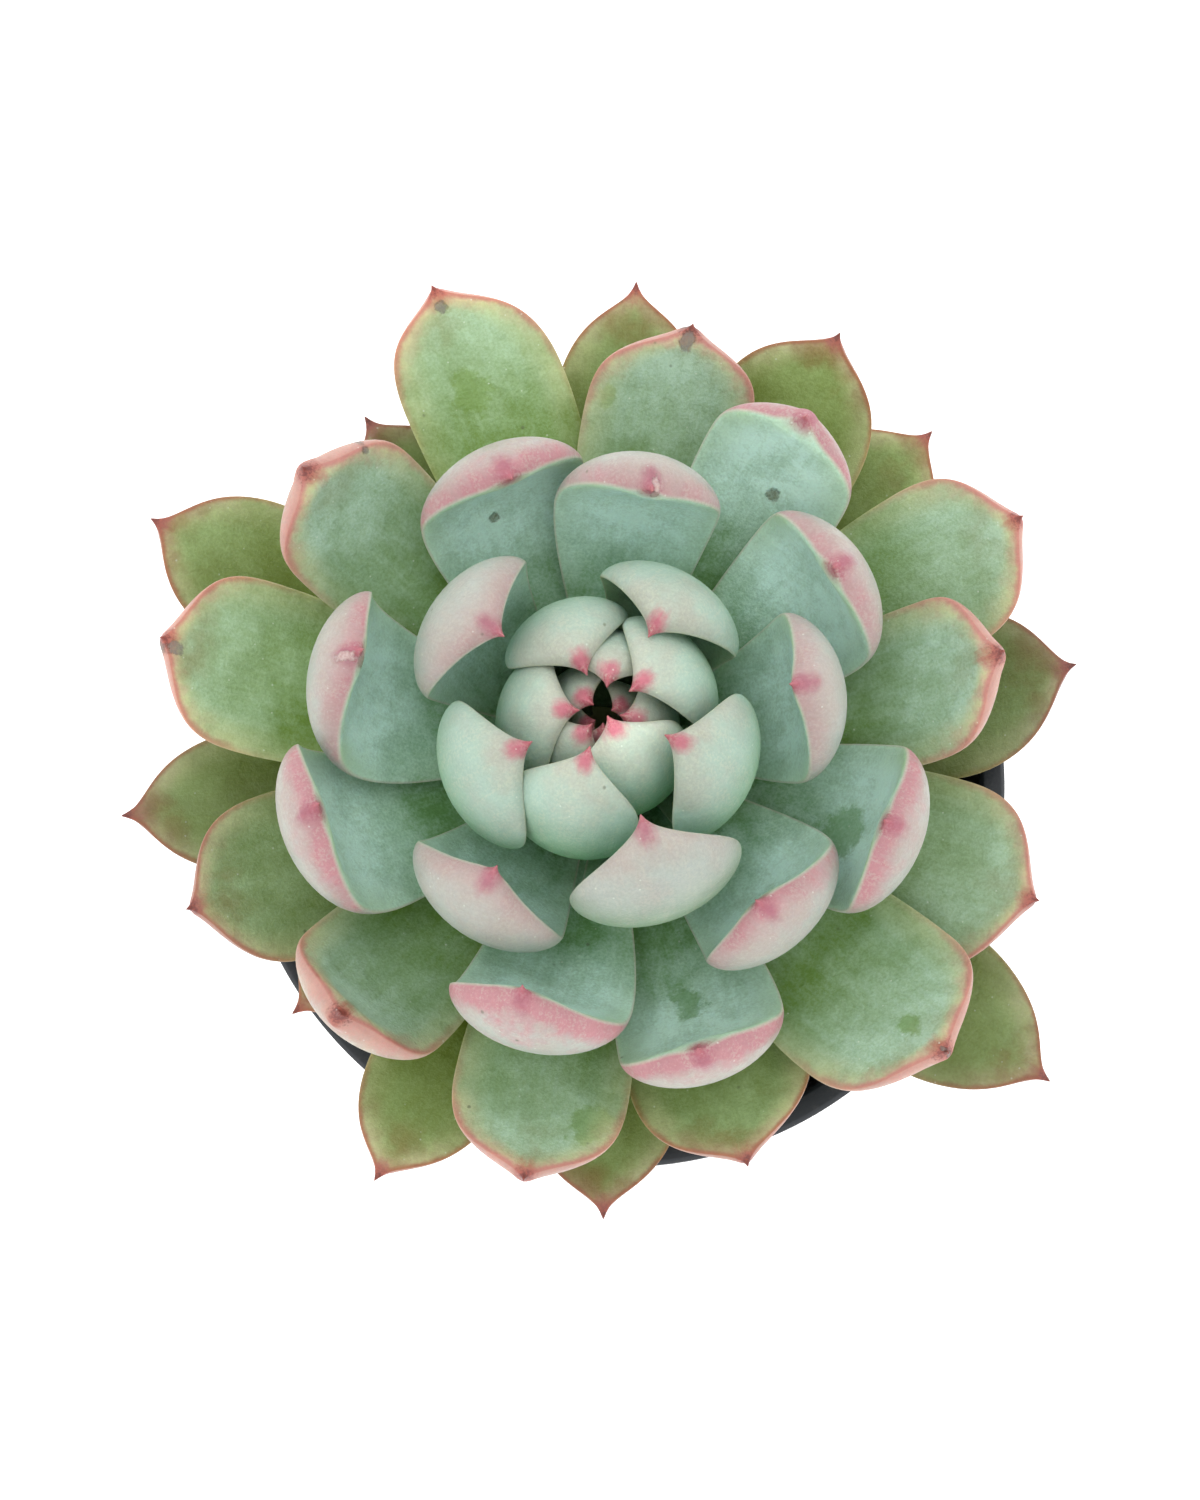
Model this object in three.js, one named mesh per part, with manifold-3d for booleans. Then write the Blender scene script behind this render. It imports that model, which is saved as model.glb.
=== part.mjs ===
// A potted echeveria: a rosette of 52 thick, cupped leaves on a short stem, rooted in dark potting
// soil in a round black nursery pot with a stepped collar and drain holes.
// Millimetres, +Z up. The origin is the middle of the pot's underside, and +Y points away from
// somebody who looks down at the plant.
import * as THREE from "three";
import { mergeVertices } from "three/addons/utils/BufferGeometryUtils.js";
import Module from "manifold-3d";

// Pot: a 10.5 cm grower's pot, thin and moulded in one piece.
const RIM_DIAMETER = 105;
const POT_HEIGHT = 90;
const BASE_DIAMETER = 74;
const WALL = 1.3;
const FLOOR = 1.8;
const COLLAR_HEIGHT = 17;
const COLLAR_STEP = 2.4;
const COLLAR_DRAFT = 1;
const LIP_OVERHANG = 2.2;
const LIP_HEIGHT = 3;
const HOLE_DIAMETER = 8;
const HOLE_CIRCLE_RADIUS = 25;
const HOLE_COUNT = 8;
const POT_SIDES = 48;
const HOLE_SIDES = 16;

// The pot's small mouldings: its base edge, the cone under its collar, its rounded lip and the
// fillet inside it where the wall meets the floor.
const BASE_EDGE = 1;
const STEP_RISE = 1;
const LIP_ROUNDING = 0.6;
const FLOOR_FILLET = 1.2;

// Parts that touch in the real plant keep this gap.
const GAP = 0.3;

// Soil: fills the pot to a finger's width under the rim.
const SOIL_BELOW_RIM = 14;
const SOIL_MOUND = 1.5;
const SOIL_EDGE_DROP = 0.6;
const SOIL_EDGE_WIDTH = 2;

// Stem: stands a little off the pot's middle, domed at its growing tip.
const PLANT_X = -2.4;
const PLANT_Y = 2.8;
const STEM_RADIUS = 8.2;
const ROOT_RADIUS = 5.5;
const ROOT_DEPTH = 24;
const ROOT_END_RADIUS = 1.9;
const ROOT_TAPER = 14.4;
const NECK_HEIGHT = 1;
const STEM_BELOW_LEAVES = 4;
const DOME_HEIGHT = 7;
const STEM_SIDES = 24;
const DOME_STEPS = 6;

// Rosette: the oldest leaf leaves the stem at the height of the pot's rim.
const LOWEST_LEAF = POT_HEIGHT;
const DOME_LEAVES = 26;
const LEAF_PITCH = 0.48;
const HEART_LEAVES = 15;
const CUPPED_LEAVES = 14;

// How a leaf changes with its place in the rosette, counted from the youngest: place and value.
// Lengths are in millimetres along the leaf, and angles in degrees.
const LENGTH = [[0, 23], [4, 29], [8, 33.5], [12, 40], [16, 41], [20, 43], [27, 48]];
const WIDTH = [[0, 7], [4, 14.5], [8, 20], [12, 21.5], [16, 23], [30, 23.5], [44, 22.5], [51, 21]];
const THICKNESS = [[0, 1.8], [8, 3], [16, 4.8], [30, 5.2], [51, 4.6]];
const BEND = [
  [0, 50], [6, 100], [9, 120], [13, 128], [18, 124], [24, 120], [28, 100], [31, 66], [34, 48], [51, 14],
];
const CURL = [[0, 2], [16, 2], [24, 2.8], [51, 2.8]];
const WIDEST = [[0, 0.76], [30, 0.74], [42, 0.69], [51, 0.66]];
const POINTED = [[0, 0.5], [30, 0.5], [42, 0.85], [51, 1]];
const ROUNDNESS = [[0, 2.4], [10, 3.2], [20, 3.2], [30, 2.8], [42, 2.2], [51, 2.1]];
const POINT_LENGTH = [[0, 2], [8, 4.6], [15, 6], [20, 4], [30, 3], [51, 3]];
const POINT_DROP = [[0, 0], [15, 0], [19, 1.6], [29, 1.6], [34, 0.6], [51, 0.4]];
const TIP_SWELL = [[0, 0], [14, 0.1], [18, 0.35], [29, 0.35], [34, 0.1], [38, 0]];

// Each leaf from the youngest: the direction of its middle line, anticlockwise from +X, and how
// far its tip is from the stem's axis in plan, as on the real plant. Some have a length, width or
// bend of their own. Sweep carries a tip sideways, and skew sets one shoulder further out.
const LEAVES = [
  { azimuth: 205, reach: 1 },
  { azimuth: 29, reach: 1 },
  { azimuth: 268, reach: 1 },
  { azimuth: 141, reach: 1.5 },
  { azimuth: 349, reach: 2 },
  { azimuth: 227, reach: 2 },
  { azimuth: 82, reach: 3, length: 31.5, width: 15 },
  { azimuth: 298, reach: 1, length: 35 },
  { azimuth: 178, reach: 3, width: 19, length: 33 },
  { azimuth: 36, reach: 4, width: 19.2 },
  { azimuth: 252, reach: 5.5, length: 40.5, width: 18.6 },
  { azimuth: 114, reach: 5, length: 34.5, width: 18.5 },
  { azimuth: 335, reach: 8.5 },
  { azimuth: 206, reach: 10 },
  { azimuth: 59, reach: 11, length: 36.5 },
  { azimuth: 288, reach: 15, length: 46.5, width: 24 },
  { azimuth: 144, reach: 15.5, length: 40.5 },
  { azimuth: 8, reach: 23.8, length: 40, bend: 112 },
  { azimuth: 236, reach: 24, length: 41.5 },
  { azimuth: 83, reach: 29, length: 42, width: 22, bend: 112, sweep: -2.6, skew: -0.07 },
  { azimuth: 315.5, reach: 31, sweep: -3.5, skew: -0.12 },
  { azimuth: 173, reach: 32, sweep: -4.2, skew: -0.13 },
  { azimuth: 33, reach: 35.2, length: 43, bend: 110 },
  { azimuth: 259.5, reach: 36.6, length: 48.5, bend: 126, sweep: -3.6, skew: -0.1 },
  { azimuth: 115, reach: 33, length: 43, bend: 126, sweep: -2.3 },
  { azimuth: 339.5, reach: 38.3, length: 46.5, bend: 120, skew: -0.1 },
  { azimuth: 203.5, reach: 38.2, bend: 114, sweep: -3.9, skew: -0.1 },
  { azimuth: 56.5, reach: 47.5, length: 49, width: 21, bend: 74 },
  { azimuth: 289.5, reach: 44, length: 49.5, width: 22.5, bend: 110, sweep: -2.7 },
  { azimuth: 138.5, reach: 51, length: 51, width: 22, bend: 60, sweep: 0.9 },
  { azimuth: 8, reach: 52.5, length: 50, width: 21, bend: 46, sweep: 2.4 },
  { azimuth: 228, reach: 50.5, length: 52.5, width: 23, bend: 90 },
  { azimuth: 80, reach: 55.5, length: 51, width: 22.3, bend: 42, sweep: -2.2 },
  { azimuth: 315, reach: 61, length: 58, width: 26, sweep: 1.6 },
  { azimuth: 168, reach: 59, length: 55.5 },
  { azimuth: 27.5, reach: 62, length: 58 },
  { azimuth: 260, reach: 59, length: 55.5 },
  { azimuth: 106.5, reach: 64, length: 60, width: 22, sweep: 4.8, skew: -0.08 },
  { azimuth: 338.5, reach: 61, length: 55, width: 26.3, sweep: 1.1 },
  { azimuth: 202.5, reach: 59, length: 53.5 },
  { azimuth: 60, reach: 63.2, length: 57.5 },
  { azimuth: 291, reach: 59, length: 53, width: 25, sweep: -2.5 },
  { azimuth: 152.8, reach: 67.5, length: 61, width: 20.8, sweep: 0.8 },
  { azimuth: 9, reach: 64.3, length: 57, sweep: 1.1 },
  { azimuth: 244, reach: 65, length: 58, width: 18.8, sweep: -1.7 },
  { azimuth: 85.6, reach: 63.6, length: 56.5, width: 20.4, sweep: 0.4 },
  { azimuth: 323, reach: 74, length: 66.5, width: 21.3 },
  { azimuth: 187.4, reach: 65, length: 57.5, width: 19.5, sweep: 0.7 },
  { azimuth: 44.6, reach: 63, length: 55, width: 24 },
  { azimuth: 270, reach: 62.5, length: 54.5 },
  { azimuth: 125.3, reach: 56, length: 48.5 },
  { azimuth: 220, reach: 54.5, length: 46.3, width: 20 },
];

// Leaf mesh: stations along the leaf, and points round each of them.
const STATIONS = [0, 0.14, 0.3, 0.46, 0.6, 0.72, 0.82, 0.9, 0.96];
const LEAF_SIDES = 10;
const SPINE_STEPS = 50;
const FOOT_WIDTH = 0.33;
const FOOT_THICKNESS = 0.36;
const SHOULDER_RISE = 1.25;
const POINT_HOLLOW = 1.5;
const POINT_FROM = 0.94;

// The leaf's section: most of its flesh is on the back, and it is fleshy to near the blunt end.
const BELLY = 0.78;
const SECTION_FULLNESS = 0.7;
const THINNING_FROM = 0.55;
const BLUNTNESS = 3.2;
const SWELL_FROM = 0.45;
const SWELL_TO = 0.85;

// How tightly a blade may wrap: its radius of curvature, and its half-width as an angle.
const SMALLEST_CUP = 7;
const WIDEST_WRAP = 1.15;
const NEST_SLACK = 1.15;
const FLATTEST_SINE = 0.08;

const wasm = await Module();
wasm.setup();

const { degToRad, smoothstep } = THREE.MathUtils;
const sideLeaves = LEAVES.length - 1 - DOME_LEAVES;
const shoulder = LOWEST_LEAF + sideLeaves * LEAF_PITCH;
const soilTop = POT_HEIGHT - SOIL_BELOW_RIM;

// The value of a curve of [place, value] pairs at one place.
function valueAt(curve, place) {
  const next = curve.findIndex(([at]) => at >= place);
  if (next === -1) return curve.at(-1)[1];
  if (next === 0) return curve[0][1];
  const [at0, value0] = curve[next - 1];
  const [at1, value1] = curve[next];
  return value0 + ((value1 - value0) * (place - at0)) / (at1 - at0);
}

function solidFrom(geometry) {
  const bare = geometry.clone();
  bare.deleteAttribute("normal");
  bare.deleteAttribute("uv");
  const merged = mergeVertices(bare, 1e-4);
  const mesh = new wasm.Mesh({
    numProp: 3,
    vertProperties: Float32Array.from(merged.attributes.position.array),
    triVerts: Uint32Array.from(merged.index.array),
  });
  return new wasm.Manifold(mesh);
}

function geometryFrom(solid) {
  const mesh = solid.getMesh();
  const geometry = new THREE.BufferGeometry();
  geometry.setAttribute("position", new THREE.BufferAttribute(mesh.vertProperties, 3));
  geometry.setIndex(new THREE.BufferAttribute(mesh.triVerts, 1));
  return geometry;
}

// A solid of revolution about +Z from [radius, height] points that run upwards on the outside.
function turned(points, sides) {
  const profile = points.map(([radius, height]) => new THREE.Vector2(radius, height));
  return new THREE.LatheGeometry(profile, sides).rotateX(Math.PI / 2);
}

// Where a leaf leaves the stem: the young ones on its dome, the rest down its side.
function seatOf(place) {
  if (place < DOME_LEAVES) {
    const share = Math.sqrt((place + 0.5) / DOME_LEAVES);
    return [STEM_RADIUS * share, shoulder + DOME_HEIGHT * Math.sqrt(1 - share * share)];
  }
  return [STEM_RADIUS, LOWEST_LEAF + (LEAVES.length - 1 - place) * LEAF_PITCH];
}

// Half the leaf's width, as a share of the largest, at share s of its length: a narrow foot, a
// broad blade and a small point on the round end.
function outline(s, length, { widest, pointed, roundness, pointLength }) {
  if (s < widest) {
    const rise = Math.sin((Math.PI / 2) * (s / widest)) ** SHOULDER_RISE;
    return FOOT_WIDTH + (1 - FOOT_WIDTH) * rise;
  }
  const q = (s - widest) / (1 - widest);
  const round = Math.max(0, 1 - q ** roundness) ** pointed;
  const left = ((1 - s) * length) / pointLength;
  return round * (1 - Math.exp(-(left ** POINT_HOLLOW)));
}

// The leaf's thickness as a share of the largest: fleshy to near the end, which is blunt.
function fullness(s, swell) {
  const grow = Math.sin((Math.PI / 2) * Math.min(1, s / THINNING_FROM));
  const body = FOOT_THICKNESS + (1 - FOOT_THICKNESS) * grow;
  const swollen = 1 + swell * smoothstep(s, SWELL_FROM, SWELL_TO);
  const q = Math.max(0, (s - THINNING_FROM) / (1 - THINNING_FROM));
  return body * swollen * Math.sqrt(1 - q ** BLUNTNESS);
}

// The slope of a leaf's middle line at share s of its length: it curls up towards the tip.
function slopeAt(s, foot, bend, curl) {
  return foot + bend * s ** curl;
}

// The slope at the foot of a leaf of that length and bend whose tip comes out that far.
function footSlope(out, length, bend, curl, drop) {
  let low = 0;
  let high = Math.PI / 2;
  for (let round = 0; round < 20; round++) {
    const foot = (low + high) / 2;
    let reached = drop * Math.sin(foot + bend);
    for (let i = 0; i < SPINE_STEPS; i++) {
      reached += (length / SPINE_STEPS) * Math.cos(slopeAt(i / SPINE_STEPS, foot, bend, curl));
    }
    if (reached > out) low = foot;
    else high = foot;
  }
  return low;
}

// One closed leaf. Its blade wraps a surface of revolution about the stem, so that leaves nest.
function leafGeometry(leaf, place) {
  const half = (leaf.width ?? valueAt(WIDTH, place)) / 2;
  const length = leaf.length ?? valueAt(LENGTH, place);
  const thickness = valueAt(THICKNESS, place);
  const bend = degToRad(leaf.bend ?? valueAt(BEND, place));
  const curl = valueAt(CURL, place);
  const shape = {
    widest: valueAt(WIDEST, place),
    pointed: valueAt(POINTED, place),
    roundness: valueAt(ROUNDNESS, place),
    pointLength: valueAt(POINT_LENGTH, place),
  };
  const swell = valueAt(TIP_SWELL, place);
  const drop = valueAt(POINT_DROP, place);
  const sweep = leaf.sweep ?? 0;
  const skew = leaf.skew ?? 0;
  const azimuth = degToRad(leaf.azimuth);
  const [seatRadius, seatHeight] = seatOf(place);
  const foot = footSlope(leaf.reach - seatRadius - GAP, length, bend, curl, drop);

  const spine = [];
  let radius = seatRadius + GAP + (FOOT_THICKNESS / 2) * thickness * Math.sin(foot);
  let height = seatHeight;
  for (let i = 0; i <= SPINE_STEPS; i++) {
    const slope = slopeAt(i / SPINE_STEPS, foot, bend, curl);
    spine.push({ radius, height, slope });
    radius += (Math.cos(slope) * length) / SPINE_STEPS;
    height += (Math.sin(slope) * length) / SPINE_STEPS;
  }

  const outward = new THREE.Vector3(Math.cos(azimuth), Math.sin(azimuth), 0);
  const sideways = new THREE.Vector3(-Math.sin(azimuth), Math.cos(azimuth), 0);
  const middle = new THREE.Vector3(PLANT_X, PLANT_Y, 0);
  const pointAt = (s, across, up) => {
    const at = spine[Math.round(s * SPINE_STEPS)];
    const nest = (NEST_SLACK * Math.max(at.radius, 1)) / Math.max(FLATTEST_SINE, Math.sin(at.slope));
    const cup = Math.max(half / WIDEST_WRAP, SMALLEST_CUP, nest);
    const turn = (across + sweep * s ** 3) / cup;
    const lateral = (cup - up) * Math.sin(turn);
    const lift = cup - (cup - up) * Math.cos(turn);
    const along = skew * s * lateral;
    const out = at.radius - Math.sin(at.slope) * lift + Math.cos(at.slope) * along;
    return middle
      .clone()
      .addScaledVector(outward, out)
      .addScaledVector(sideways, lateral)
      .setZ(at.height + Math.cos(at.slope) * lift + Math.sin(at.slope) * along);
  };

  const vertices = [];
  for (const s of STATIONS) {
    const width = half * outline(s, length, shape);
    const depth = thickness * fullness(s, swell);
    const sink = drop * smoothstep(s, POINT_FROM, 1);
    for (let j = 0; j < LEAF_SIDES; j++) {
      const turn = (2 * Math.PI * j) / LEAF_SIDES;
      const across = Math.cos(turn);
      const bulge = Math.max(0, 1 - across * across) ** SECTION_FULLNESS;
      const up = Math.sin(turn) > 0 ? (1 - BELLY) * depth * bulge : -BELLY * depth * bulge;
      vertices.push(pointAt(s, width * across, up - sink));
    }
  }
  const heel = vertices.push(pointAt(0, 0, (0.5 - BELLY) * thickness * FOOT_THICKNESS)) - 1;
  const tip = vertices.push(pointAt(1, 0, -drop)) - 1;

  const index = [];
  const last = (STATIONS.length - 1) * LEAF_SIDES;
  for (let j = 0; j < LEAF_SIDES; j++) {
    const next = (j + 1) % LEAF_SIDES;
    index.push(heel, next, j);
    for (let ring = 0; ring < last; ring += LEAF_SIDES) {
      index.push(ring + j, ring + next, ring + LEAF_SIDES + next);
      index.push(ring + j, ring + LEAF_SIDES + next, ring + LEAF_SIDES + j);
    }
    index.push(last + j, last + next, tip);
  }
  const geometry = new THREE.BufferGeometry().setFromPoints(vertices);
  geometry.setIndex(index);
  return geometry;
}

// The stem with its root crown, turned about its own axis.
function stemGeometry(grow) {
  const profile = [[0, soilTop - ROOT_DEPTH - grow]];
  profile.push([ROOT_END_RADIUS + grow, soilTop - ROOT_DEPTH - grow]);
  profile.push([ROOT_RADIUS + grow, soilTop - ROOT_DEPTH + ROOT_TAPER]);
  profile.push([ROOT_RADIUS + grow, soilTop + NECK_HEIGHT]);
  profile.push([STEM_RADIUS + grow, LOWEST_LEAF - STEM_BELOW_LEAVES]);
  profile.push([STEM_RADIUS + grow, shoulder]);
  for (let i = 1; i < DOME_STEPS; i++) {
    const turn = (Math.PI / 2) * (i / DOME_STEPS);
    profile.push([STEM_RADIUS * Math.cos(turn) + grow, shoulder + DOME_HEIGHT * Math.sin(turn)]);
  }
  profile.push([0, shoulder + DOME_HEIGHT + grow]);
  return turned(profile, STEM_SIDES).translate(PLANT_X, PLANT_Y, 0);
}

// The collar's height and radii, and the radius of the wall where it meets the collar's step.
const collarFoot = POT_HEIGHT - COLLAR_HEIGHT;
const rimRadius = RIM_DIAMETER / 2;
const baseRadius = BASE_DIAMETER / 2;
const collarTopRadius = rimRadius - LIP_OVERHANG;
const collarFootRadius = collarTopRadius - COLLAR_DRAFT;
const wallTopRadius = collarFootRadius - COLLAR_STEP;
const wallTaper = (wallTopRadius - baseRadius) / collarFoot;

function potGeometry() {
  const profile = [
    [0, FLOOR],
    [0, 0],
    [baseRadius - BASE_EDGE, 0],
    [baseRadius, BASE_EDGE],
    [wallTopRadius, collarFoot - STEP_RISE],
    [collarFootRadius, collarFoot],
    [collarTopRadius, POT_HEIGHT - LIP_HEIGHT],
    [rimRadius, POT_HEIGHT - LIP_HEIGHT + LIP_ROUNDING],
    [rimRadius, POT_HEIGHT - LIP_ROUNDING],
    [rimRadius - LIP_ROUNDING, POT_HEIGHT],
    [collarTopRadius - WALL + LIP_ROUNDING, POT_HEIGHT],
    [collarTopRadius - WALL, POT_HEIGHT - LIP_ROUNDING],
    [collarFootRadius - WALL, collarFoot + WALL],
    [wallTopRadius - WALL, collarFoot + WALL - STEP_RISE],
    [baseRadius - WALL + wallTaper * (FLOOR + FLOOR_FILLET), FLOOR + FLOOR_FILLET],
    [baseRadius - WALL - FLOOR_FILLET, FLOOR],
    [0, FLOOR],
  ];
  let pot = solidFrom(turned(profile, POT_SIDES));
  for (let i = 0; i < HOLE_COUNT; i++) {
    const turn = (2 * Math.PI * i) / HOLE_COUNT;
    const drill = new THREE.CylinderGeometry(HOLE_DIAMETER / 2, HOLE_DIAMETER / 2, 4 * FLOOR, HOLE_SIDES)
      .rotateX(Math.PI / 2)
      .translate(HOLE_CIRCLE_RADIUS * Math.cos(turn), HOLE_CIRCLE_RADIUS * Math.sin(turn), 0);
    pot = pot.subtract(solidFrom(drill));
  }
  return geometryFrom(pot);
}

// The soil: the pot's inside less a gap, a little mounded, with a socket for the root crown.
function soilGeometry() {
  const profile = [
    [0, FLOOR + GAP],
    [baseRadius - WALL - FLOOR_FILLET - GAP, FLOOR + GAP],
    [baseRadius - WALL - GAP, FLOOR + FLOOR_FILLET + GAP],
    [wallTopRadius - WALL - GAP, collarFoot + WALL - STEP_RISE + 2 * GAP],
    [collarFootRadius - WALL - 2 * GAP, collarFoot + WALL + GAP],
    [collarFootRadius - WALL - 2 * GAP, soilTop - SOIL_EDGE_DROP],
    [collarFootRadius - WALL - SOIL_EDGE_WIDTH, soilTop],
    [rimRadius / 2, soilTop + SOIL_MOUND / 2],
    [0, soilTop + SOIL_MOUND],
  ];
  const soil = solidFrom(turned(profile, POT_SIDES));
  return geometryFrom(soil.subtract(solidFrom(stemGeometry(GAP))));
}

const plant = new THREE.Group();

function addPart(name, geometry, colour, roughness) {
  const material = new THREE.MeshStandardMaterial({ color: colour, roughness, metalness: 0 });
  const mesh = new THREE.Mesh(geometry, material);
  mesh.name = name;
  plant.add(mesh);
}

addPart("pot", potGeometry(), 0x2c3136, 0.5);
addPart("soil", soilGeometry(), 0x3b2b20, 0.95);
addPart("stem", stemGeometry(0), 0x8f8a5a, 0.8);

// Which group a leaf belongs to, with the group's colour.
function groupOf(place) {
  if (place < HEART_LEAVES) return ["heart_leaf", 0xa9c6b1];
  if (place < HEART_LEAVES + CUPPED_LEAVES) return ["cupped_leaf", 0x93b69f];
  return ["spread_leaf", 0x88a873];
}

for (const [place, leaf] of LEAVES.entries()) {
  const [group, colour] = groupOf(place);
  const number = String(place + 1).padStart(2, "0");
  addPart(`${group}_${number}`, leafGeometry(leaf, place), colour, 0.55);
}

export default plant;
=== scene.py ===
import math
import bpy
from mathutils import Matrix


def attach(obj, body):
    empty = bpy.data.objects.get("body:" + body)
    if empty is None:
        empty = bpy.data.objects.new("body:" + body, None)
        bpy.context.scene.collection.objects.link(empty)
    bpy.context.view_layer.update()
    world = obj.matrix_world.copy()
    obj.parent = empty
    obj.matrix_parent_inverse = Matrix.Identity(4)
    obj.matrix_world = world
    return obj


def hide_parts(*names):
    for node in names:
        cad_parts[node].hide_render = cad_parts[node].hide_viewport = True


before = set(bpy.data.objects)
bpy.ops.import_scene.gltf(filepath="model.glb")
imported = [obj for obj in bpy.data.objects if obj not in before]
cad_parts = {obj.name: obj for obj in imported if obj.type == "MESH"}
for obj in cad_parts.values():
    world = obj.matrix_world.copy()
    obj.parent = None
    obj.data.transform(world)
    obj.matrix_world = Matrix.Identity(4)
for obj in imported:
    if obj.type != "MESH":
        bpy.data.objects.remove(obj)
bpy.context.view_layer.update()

from types import SimpleNamespace

import bmesh
import bpy
from mathutils import Matrix, Vector, noise

MM = 0.001

# The view: the plant is looked down on from a little in front, with a long lens about 56 cm above
# its leaves. The frame is 1200 x 1500, and the long side takes in 202.5 mm at the leaves.
VIEW_TARGET = Vector((-2.84, 3.25, 97)) * MM
VIEW_DISTANCE = 560 * MM
VIEW_TILT = math.radians(8)
VIEW_LONG_SIDE = 202.5 * MM
SENSOR = 36

lens = bpy.data.cameras.new("view")
lens.sensor_fit = "VERTICAL"
lens.sensor_height = SENSOR
lens.lens = SENSOR * VIEW_DISTANCE / VIEW_LONG_SIDE
lens.clip_start = 10 * MM
view = bpy.data.objects.new("view", lens)
bpy.context.collection.objects.link(view)
looking = Vector((0, math.sin(VIEW_TILT), -math.cos(VIEW_TILT)))
view.location = VIEW_TARGET - VIEW_DISTANCE * looking
view.rotation_euler = (VIEW_TILT, 0, 0)
bpy.context.scene.camera = view

# The pot: one thin moulding of black polypropylene, 10.5 cm across, with a stepped collar, a rolled
# lip and eight drain holes in its floor. It was lifted out of its mould still warm, which leaves a
# faint grain on it, and handling has dusted and scuffed it since.
RIM_RADIUS = 52.5 * MM
POT_HEIGHT = 90 * MM
BASE_RADIUS = 37 * MM
WALL = 1.3 * MM
FLOOR = 1.8 * MM
COLLAR_FOOT = 73 * MM
COLLAR_TOP = 87 * MM
COLLAR_TOP_RADIUS = 50.3 * MM
COLLAR_FOOT_RADIUS = 49.3 * MM
WALL_TOP_RADIUS = 46.9 * MM
WALL_TAPER = (WALL_TOP_RADIUS - BASE_RADIUS) / COLLAR_FOOT
HOLE_RADIUS = 4 * MM
HOLE_CIRCLE = 25 * MM
HOLES = 8
BASE_EDGE = 1 * MM
STEP_RISE = 1 * MM
LIP_ROUNDING = 0.6 * MM
FLOOR_FILLET = 1.2 * MM
MOULDED_EDGE = 0.25 * MM
ROUNDED_FROM = math.radians(25)
CREASED_FROM = math.radians(50)
HOLE_TURNS = 40
POT_TURNS = 192
POT_COLOUR = (0.012, 0.015, 0.019)
DUST_COLOUR = (0.16, 0.14, 0.115)


class Value:
    """A number that a node works out. Sums and products of such numbers are nodes too."""

    def __init__(self, socket):
        self.socket = socket

    def math(self, operation, *others):
        return calculate(self.socket.id_data, operation, self, *others)

    def __add__(self, other):
        return self.math("ADD", other)

    def __sub__(self, other):
        return self.math("SUBTRACT", other)

    def __rsub__(self, other):
        return calculate(self.socket.id_data, "SUBTRACT", other, self)

    def __mul__(self, other):
        return self.math("MULTIPLY", other)

    def __truediv__(self, other):
        return self.math("DIVIDE", other)

    def __pow__(self, other):
        return self.math("POWER", other)

    __radd__ = __add__
    __rmul__ = __mul__

    def clamped(self):
        return self.math("MAXIMUM", 0).math("MINIMUM", 1)

    def ramp(self, low, high, start=0.0, end=1.0):
        """Rises smoothly from start, where the number is low, to end, where it is high."""
        node = self.socket.id_data.nodes.new("ShaderNodeMapRange")
        node.interpolation_type = "SMOOTHSTEP"
        for name, value in (("From Min", low), ("From Max", high), ("To Min", start), ("To Max", end)):
            node.inputs[name].default_value = value
        give(node.inputs["Value"], self)
        return Value(node.outputs["Result"])


def give(socket, value):
    if isinstance(value, Value):
        socket.id_data.links.new(value.socket, socket)
    else:
        socket.default_value = value


def calculate(tree, operation, *values):
    node = tree.nodes.new("ShaderNodeMath")
    node.operation = operation
    for socket, value in zip(node.inputs, values):
        give(socket, value)
    return Value(node.outputs[0])


def add_node(tree, kind, settings=None, **inputs):
    """A node of that kind. An input's name is given with _ for its spaces."""
    node = tree.nodes.new(kind)
    for name, value in (settings or {}).items():
        setattr(node, name, value)
    for name, value in inputs.items():
        give(node.inputs[name.replace("_", " ")], value)
    return node


def finish(name, **shader):
    """A new material, its node tree and its shader, with the constants that the shader is given."""
    material = bpy.data.materials.new(name)
    material.use_nodes = True
    tree = material.node_tree
    principled = tree.nodes["Principled BSDF"]
    for socket, value in shader.items():
        principled.inputs[socket.replace("_", " ")].default_value = value
    return material, tree, principled


def grain(tree, size, detail=2.0, roughness=0.5, where=None, distortion=0.0):
    """Noise from 0 to 1 whose lumps are about that size, in metres, through the solid or over where."""
    if where is None:
        where = Value(add_node(tree, "ShaderNodeTexCoord").outputs["Object"])
    node = add_node(tree, "ShaderNodeTexNoise", Vector=where, Scale=1 / size, Detail=detail)
    node.inputs["Roughness"].default_value = roughness
    node.inputs["Distortion"].default_value = distortion
    return Value(node.outputs["Fac"])


def blended(tree, amount, first, second, blend="MIX"):
    """One colour turning into another as the amount goes from 0 to 1."""
    node = tree.nodes.new("ShaderNodeMix")
    node.data_type = "RGBA"
    node.blend_type = blend
    give(node.inputs["Factor"], amount)
    sockets = [s for s in node.inputs if s.type == "RGBA"]
    for socket, colour in zip(sockets, (first, second)):
        give(socket, colour if isinstance(colour, Value) else (*colour, 1.0))
    return Value([s for s in node.outputs if s.type == "RGBA"][0])


def bumped(tree, principled, height, depth):
    """Raises the finish by up to depth, in metres, where height goes from 0 to 1."""
    node = add_node(tree, "ShaderNodeBump", Height=height, Distance=depth, Strength=1.0)
    tree.links.new(node.outputs["Normal"], principled.inputs["Normal"])


def new_object(name, mesh):
    made = bpy.data.objects.new(name, mesh)
    bpy.context.collection.objects.link(made)
    return made


def baked(source):
    """The mesh that an object's modifiers make of it. The object itself is taken away."""
    evaluated = source.evaluated_get(bpy.context.evaluated_depsgraph_get())
    mesh = bpy.data.meshes.new_from_object(evaluated)
    bpy.data.objects.remove(source)
    return mesh


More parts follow.
